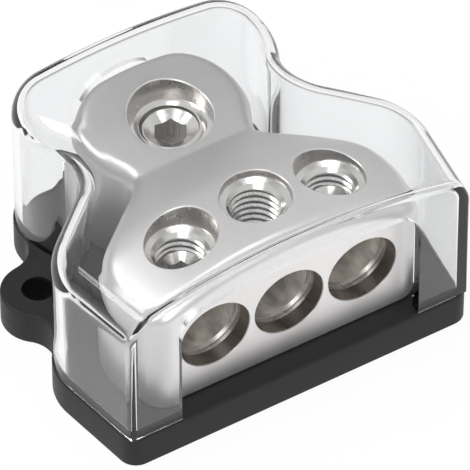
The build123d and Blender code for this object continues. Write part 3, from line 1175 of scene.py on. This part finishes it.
class DISTRIBUTION_OT_hold_screws(bpy.types.Operator):
    """Give the two screws under the base their finish"""

    bl_idname = "distribution.hold_screws"
    bl_label = "Base screws"

    def execute(self, context):
        tint = context.scene.distribution_finishes.zinc
        material = grained("zinc plated screw", tint, (1500.0, 4.0), (0.28, 0.4), metallic=1.0)
        for node in ("hold_screw_left", "hold_screw_right"):
            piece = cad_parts[node]
            for slot in piece.material_slots:
                slot.material = material
        return {"FINISHED"}


class DISTRIBUTION_OT_stage(bpy.types.Operator):
    """Set up the floor, lights, sky and camera"""

    bl_idname = "distribution.stage"
    bl_label = "Stage"

    def execute(self, context):
        scene = context.scene
        stage = scene.distribution_stage
        scene.view_settings.view_transform = "Standard"
        self.floor(scene, stage)
        self.sky(scene, stage)
        self.lamps(scene)
        self.camera(scene, stage)
        return {"FINISHED"}

    def floor(self, scene, stage):
        """A wide floor that catches the shadow. Seen straight, through the cover or in gloss, the
        larger share of it is plain white."""
        size = 3000.0
        corners = [(-size, -size, 0), (size, -size, 0), (size, size, 0), (-size, size, 0)]
        floor = mesh_object("floor", corners, [(0, 1, 2, 3)])
        material, nodes, links, shader = new_material("floor", scene.distribution_finishes.floor)
        shader.inputs["Roughness"].default_value = 0.9
        shader.inputs["Specular IOR Level"].default_value = 0.0
        white = nodes.new("ShaderNodeEmission")
        white.inputs["Strength"].default_value = 1.0
        sight = nodes.new("ShaderNodeLightPath").outputs
        gloss = combined(nodes, links, "MULTIPLY", sight["Is Glossy Ray"], stage.glow_in_gloss)
        seen = combined(
            nodes, links, "MAXIMUM", sight["Is Camera Ray"], sight["Is Transmission Ray"]
        )
        seen = combined(nodes, links, "MAXIMUM", seen, gloss)
        mix = nodes.new("ShaderNodeMixShader")
        links.new(combined(nodes, links, "MULTIPLY", seen, stage.glow), mix.inputs[0])
        links.new(shader.outputs[0], mix.inputs[1])
        links.new(white.outputs[0], mix.inputs[2])
        links.new(mix.outputs[0], nodes["Material Output"].inputs["Surface"])
        floor.data.materials.append(material)

    def sky(self, scene, stage):
        """Even white light that rises from the horizon and falls again straight overhead."""
        world = bpy.data.worlds.new("studio sky")
        scene.world = world
        world.use_nodes = True
        nodes, links = world.node_tree.nodes, world.node_tree.links
        back = nodes["Background"]
        back.inputs["Color"].default_value = (1.0, 1.0, 1.0, 1.0)
        way = nodes.new("ShaderNodeTexCoord")
        axes = nodes.new("ShaderNodeSeparateXYZ")
        links.new(way.outputs["Generated"], axes.inputs["Vector"])
        height = axes.outputs["Z"]
        rise = mapped(nodes, links, height, (0.0, 0.55), (stage.horizon, stage.sky), smooth=True)
        fall = mapped(nodes, links, height, (0.76, 0.97), (1.0, stage.zenith), smooth=True)
        strength = combined(nodes, links, "MULTIPLY", rise, fall)
        links.new(strength, back.inputs["Strength"])

    def lamps(self, scene):
        """Soft lamps turned to the part: name, place and size in millimetres, and watts."""
        lamps = (
            ("key lamp", (-190, -230, 230), (170, 210), 0.33),
            ("side lamp", (-560, 330, 740), (340, 340), 2.6),
            ("left strip", (-150, 10, 900), (170, 620), 0.9),
            ("right strip", (110, -120, 900), (170, 620), 0.9),
        )
        middle = Vector((0, 0, 15 * MM))
        for name, spot, size, power in lamps:
            light = bpy.data.lights.new(name, "AREA")
            light.shape = "RECTANGLE"
            light.size, light.size_y = size[0] * MM, size[1] * MM
            light.energy = power
            lamp = bpy.data.objects.new(name, light)
            lamp.location = Vector(spot) * MM
            lamp.rotation_euler = (middle - lamp.location).to_track_quat("-Z", "Y").to_euler()
            scene.collection.objects.link(lamp)

    def camera(self, scene, stage):
        """The photo's camera, far off with a long lens."""
        turn, rise = stage.azimuth, stage.elevation
        level = math.cos(rise)
        ahead = Vector((math.sin(turn) * level, math.cos(turn) * level, -math.sin(rise)))
        right = Vector((math.cos(turn), -math.sin(turn), 0.0))
        up = right.cross(ahead)
        back, height, to_right, down = mm(
            stage, "aim_back", "aim_height", "aim_right", "aim_down"
        )
        aim = Vector((0.0, FRONT_Y + back, FLOOR_Z + height)) + right * to_right - up * down
        data = bpy.data.cameras.new("camera")
        data.lens = stage.lens
        data.sensor_width = 36.0
        data.clip_start = 0.01
        data.clip_end = 20.0
        camera = bpy.data.objects.new("camera", data)
        camera.location = aim * MM - ahead * stage.distance
        camera.rotation_euler = ahead.to_track_quat("-Z", "Y").to_euler()
        scene.collection.objects.link(camera)
        scene.camera = camera


OPERATORS = (
    DISTRIBUTION_OT_stage,
    DISTRIBUTION_OT_base,
    DISTRIBUTION_OT_terminal_block,
    DISTRIBUTION_OT_set_screws,
    DISTRIBUTION_OT_hold_screws,
    DISTRIBUTION_OT_cover,
)


class DISTRIBUTION_PT_panel(bpy.types.Panel):
    """Lists the pieces and their sizes"""

    bl_label = "Power distribution block"
    bl_space_type = "VIEW_3D"
    bl_region_type = "UI"
    bl_category = "Distribution"

    def draw(self, context):
        for operator in OPERATORS:
            self.layout.operator(operator.bl_idname, text=operator.bl_label)
        for group in GROUPS:
            box = self.layout.box()
            settings = getattr(context.scene, group)
            for name in settings.__annotations__:
                box.prop(settings, name)


def register():
    for name, group in GROUPS.items():
        bpy.utils.register_class(group)
        setattr(bpy.types.Scene, name, PointerProperty(type=group))
    for operator in OPERATORS:
        bpy.utils.register_class(operator)
    bpy.utils.register_class(DISTRIBUTION_PT_panel)


def unregister():
    bpy.utils.unregister_class(DISTRIBUTION_PT_panel)
    for operator in reversed(OPERATORS):
        bpy.utils.unregister_class(operator)
    for name, group in reversed(list(GROUPS.items())):
        delattr(bpy.types.Scene, name)
        bpy.utils.unregister_class(group)


def main():
    register()
    bpy.ops.distribution.stage()
    bpy.ops.distribution.base()
    bpy.ops.distribution.terminal_block()
    bpy.ops.distribution.set_screws()
    bpy.ops.distribution.hold_screws()
    bpy.ops.distribution.cover()


if __name__ == "__main__":
    main()
